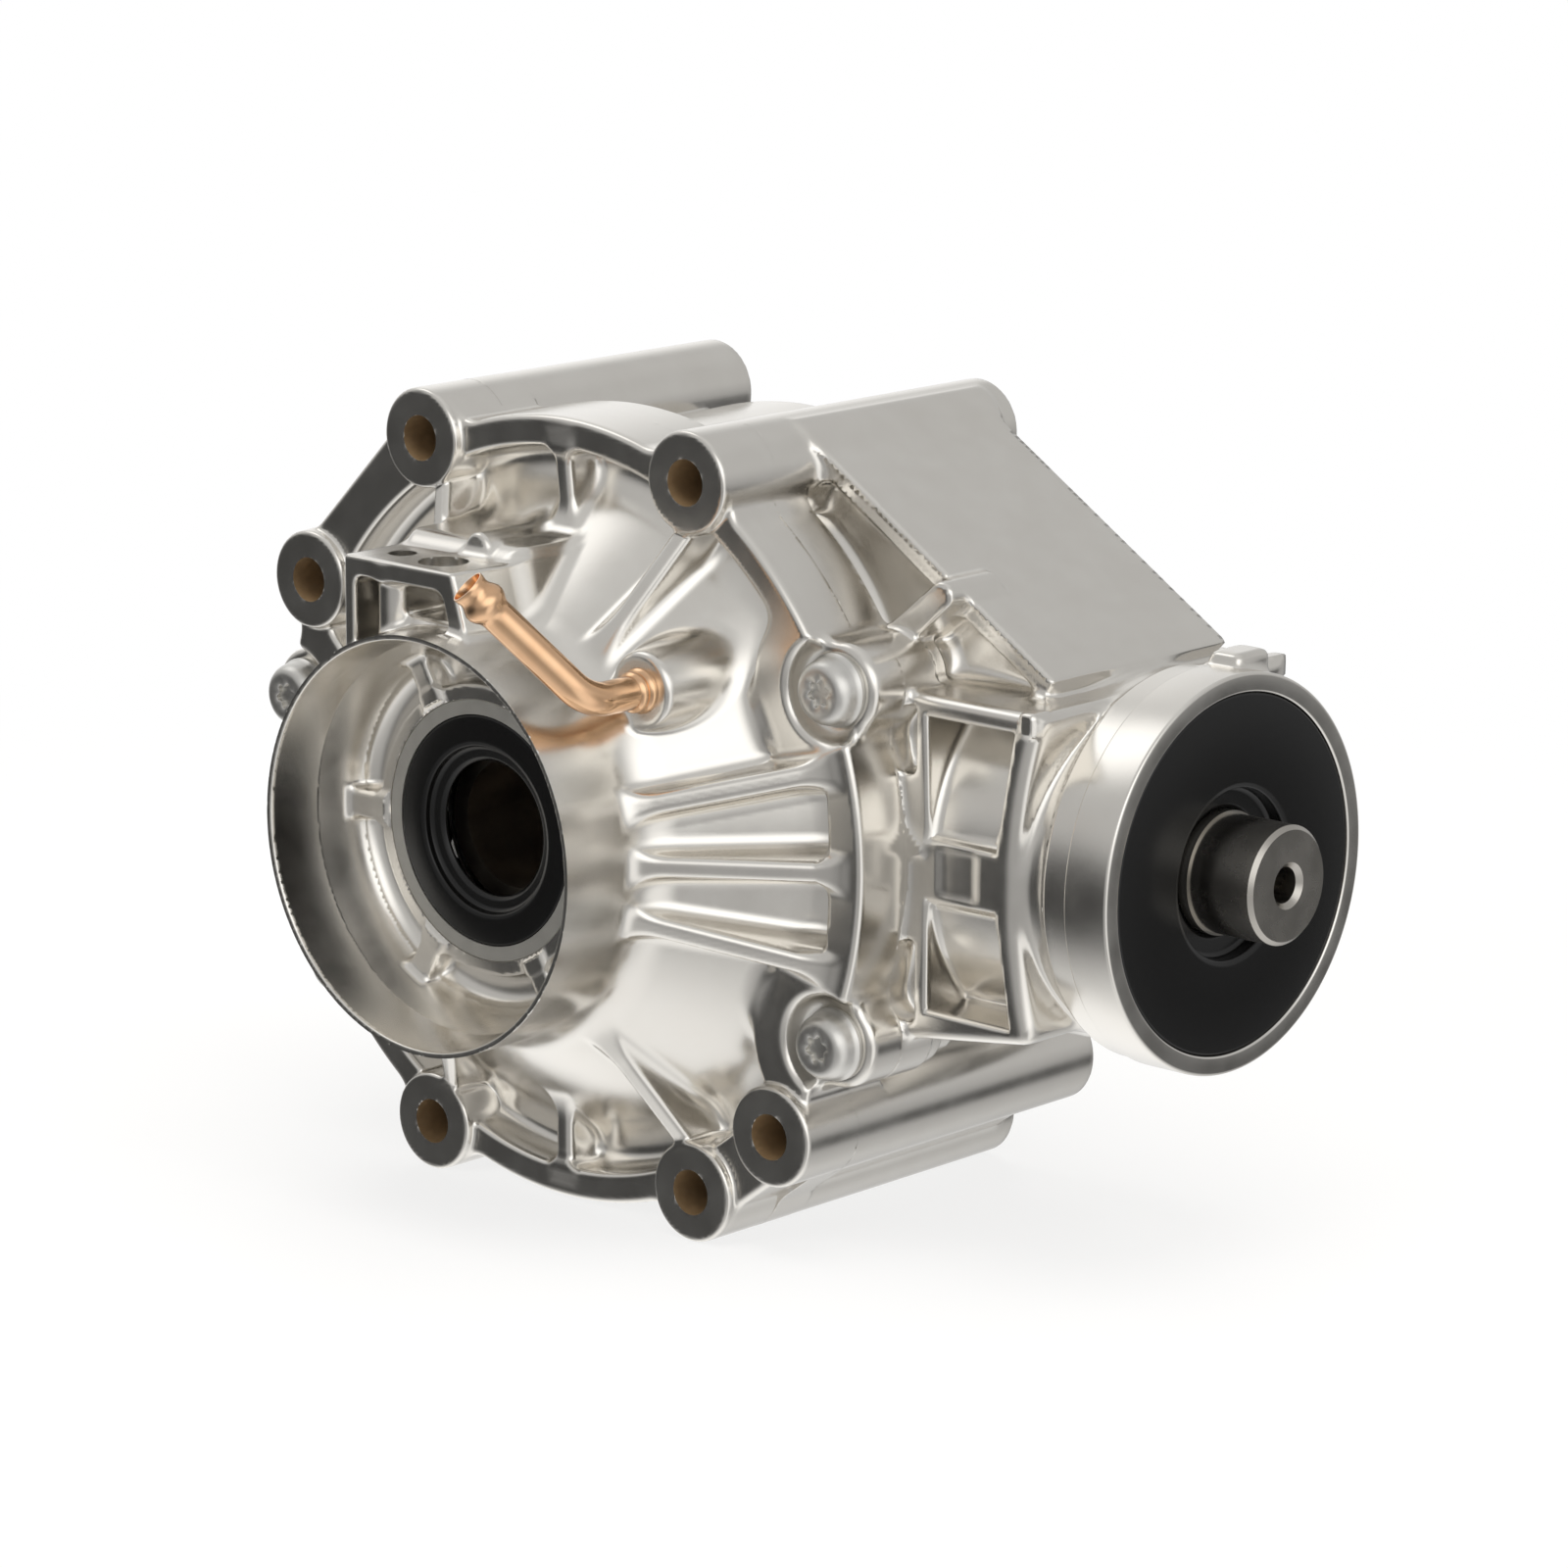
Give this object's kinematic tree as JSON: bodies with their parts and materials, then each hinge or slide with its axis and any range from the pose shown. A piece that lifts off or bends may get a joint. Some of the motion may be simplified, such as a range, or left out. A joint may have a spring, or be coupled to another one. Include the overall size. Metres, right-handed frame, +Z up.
{
  "type": "final drive unit",
  "caption": "Bevel final drive with differential in a cast case: ribbed cover with output collar, through-bolt bosses, pinion neck with seal and shaft end.",
  "frame": {"origin": "crossing of the output axis and the pinion axis, inside the rear side gear's bore", "axes": "+X along the output axis away from the collar, -Y along the pinion axis out of the nose, +Z up"},
  "size_m": [0.1875, 0.2743, 0.1942],
  "materials": {
    "cast_aluminium": "satin, shot-blasted casting",
    "screw_steel": "zinc plated, satin",
    "copper_washer": "soft, matt",
    "black_rubber": "matt",
    "seal_case_steel": "grey, satin",
    "bearing_steel": "ground",
    "pressed_cage_steel": "pressed sheet, satin",
    "gear_steel": "case hardened and ground",
    "case_iron": "cast, partly turned",
    "bronze_tube": "drawn tube, satin",
    "thrust_bronze": "satin",
    "shim_steel": "ground"
  },
  "bodies": {
    "housing": {"breather_tube": "bronze_tube", "cover_screws": "screw_steel", "cover_seal_ring": "black_rubber", "dowel_sleeves": "shim_steel", "drain_plug": "screw_steel", "drain_plug_washer": "copper_washer", "fill_plug": "screw_steel", "fill_plug_washer": "copper_washer", "front_bearing_cup": "bearing_steel", "front_bearing_shim": "shim_steel", "main_housing": "cast_aluminium", "output_seal_front": "black_rubber", "output_seal_front_case": "seal_case_steel", "output_seal_rear": "black_rubber", "output_seal_rear_case": "seal_case_steel", "pinion_depth_shim": "shim_steel", "pinion_head_bearing_cup": "bearing_steel", "pinion_seal": "black_rubber", "pinion_tail_bearing_cup": "bearing_steel", "rear_bearing_cup": "bearing_steel", "rear_bearing_shim": "shim_steel", "side_cover": "cast_aluminium"},
    "differential": {"diff_case": "case_iron", "ring_gear": "gear_steel", "ring_gear_bolts": "screw_steel", "front_bearing_cone": "bearing_steel", "rear_bearing_cone": "bearing_steel", "cross_pin": "gear_steel", "cross_pin_lock": "gear_steel", "side_washers": "thrust_bronze", "planet_washers": "thrust_bronze"},
    "pinion": {"pinion_shaft": "gear_steel", "pinion_head_bearing_cone": "bearing_steel", "pinion_tail_bearing_cone": "bearing_steel", "crush_sleeve": "shim_steel", "pinion_nut": "screw_steel"},
    "front_side_gear": {"side_gear_front": "gear_steel"},
    "rear_side_gear": {"side_gear_rear": "gear_steel"},
    "upper_planet": {"planet_gear_upper": "gear_steel"},
    "lower_planet": {"planet_gear_lower": "gear_steel"},
    "front_roller_set": {"front_bearing_rollers": "bearing_steel", "front_bearing_cage": "pressed_cage_steel"},
    "rear_roller_set": {"rear_bearing_rollers": "bearing_steel", "rear_bearing_cage": "pressed_cage_steel"},
    "pinion_head_roller_set": {"pinion_head_bearing_rollers": "bearing_steel", "pinion_head_bearing_cage": "pressed_cage_steel"},
    "pinion_tail_roller_set": {"pinion_tail_bearing_rollers": "bearing_steel", "pinion_tail_bearing_cage": "pressed_cage_steel"}
  },
  "joints": [
    {"name": "differential_spin", "type": "hinge", "parent": "housing", "child": "differential", "pos_m": [0, 0, 0], "axis": [1, 0, 0], "continuous": true},
    {"name": "pinion_spin", "type": "hinge", "parent": "housing", "child": "pinion", "pos_m": [0, 0, 0], "axis": [0, 1, 0], "continuous": true},
    {"name": "front_side_gear_spin", "type": "hinge", "parent": "differential", "child": "front_side_gear", "pos_m": [0, 0, 0], "axis": [1, 0, 0], "continuous": true},
    {"name": "rear_side_gear_spin", "type": "hinge", "parent": "differential", "child": "rear_side_gear", "pos_m": [0, 0, 0], "axis": [1, 0, 0], "continuous": true},
    {"name": "upper_planet_spin", "type": "hinge", "parent": "differential", "child": "upper_planet", "pos_m": [-0.016, 0, 0], "axis": [0, 0, 1], "continuous": true},
    {"name": "lower_planet_spin", "type": "hinge", "parent": "differential", "child": "lower_planet", "pos_m": [-0.016, 0, 0], "axis": [0, 0, 1], "continuous": true},
    {"name": "front_roller_set_spin", "type": "hinge", "parent": "housing", "child": "front_roller_set", "pos_m": [0, 0, 0], "axis": [1, 0, 0], "continuous": true},
    {"name": "rear_roller_set_spin", "type": "hinge", "parent": "housing", "child": "rear_roller_set", "pos_m": [0, 0, 0], "axis": [1, 0, 0], "continuous": true},
    {"name": "pinion_head_roller_set_spin", "type": "hinge", "parent": "housing", "child": "pinion_head_roller_set", "pos_m": [0, 0, 0], "axis": [0, 1, 0], "continuous": true},
    {"name": "pinion_tail_roller_set_spin", "type": "hinge", "parent": "housing", "child": "pinion_tail_roller_set", "pos_m": [0, 0, 0], "axis": [0, 1, 0], "continuous": true}
  ],
  "couplings": [
    {"joint": "pinion_spin", "follows": "differential_spin", "ratio": -3.0769},
    {"joint": "front_roller_set_spin", "follows": "differential_spin", "ratio": 0.43907},
    {"joint": "rear_roller_set_spin", "follows": "differential_spin", "ratio": 0.43907},
    {"joint": "pinion_head_roller_set_spin", "follows": "differential_spin", "ratio": -1.2884},
    {"joint": "pinion_tail_roller_set_spin", "follows": "differential_spin", "ratio": -1.287},
    {"joint": "rear_side_gear_spin", "follows": "front_side_gear_spin", "ratio": -1},
    {"joint": "upper_planet_spin", "follows": "front_side_gear_spin", "ratio": 1.6},
    {"joint": "lower_planet_spin", "follows": "front_side_gear_spin", "ratio": -1.6}
  ]
}
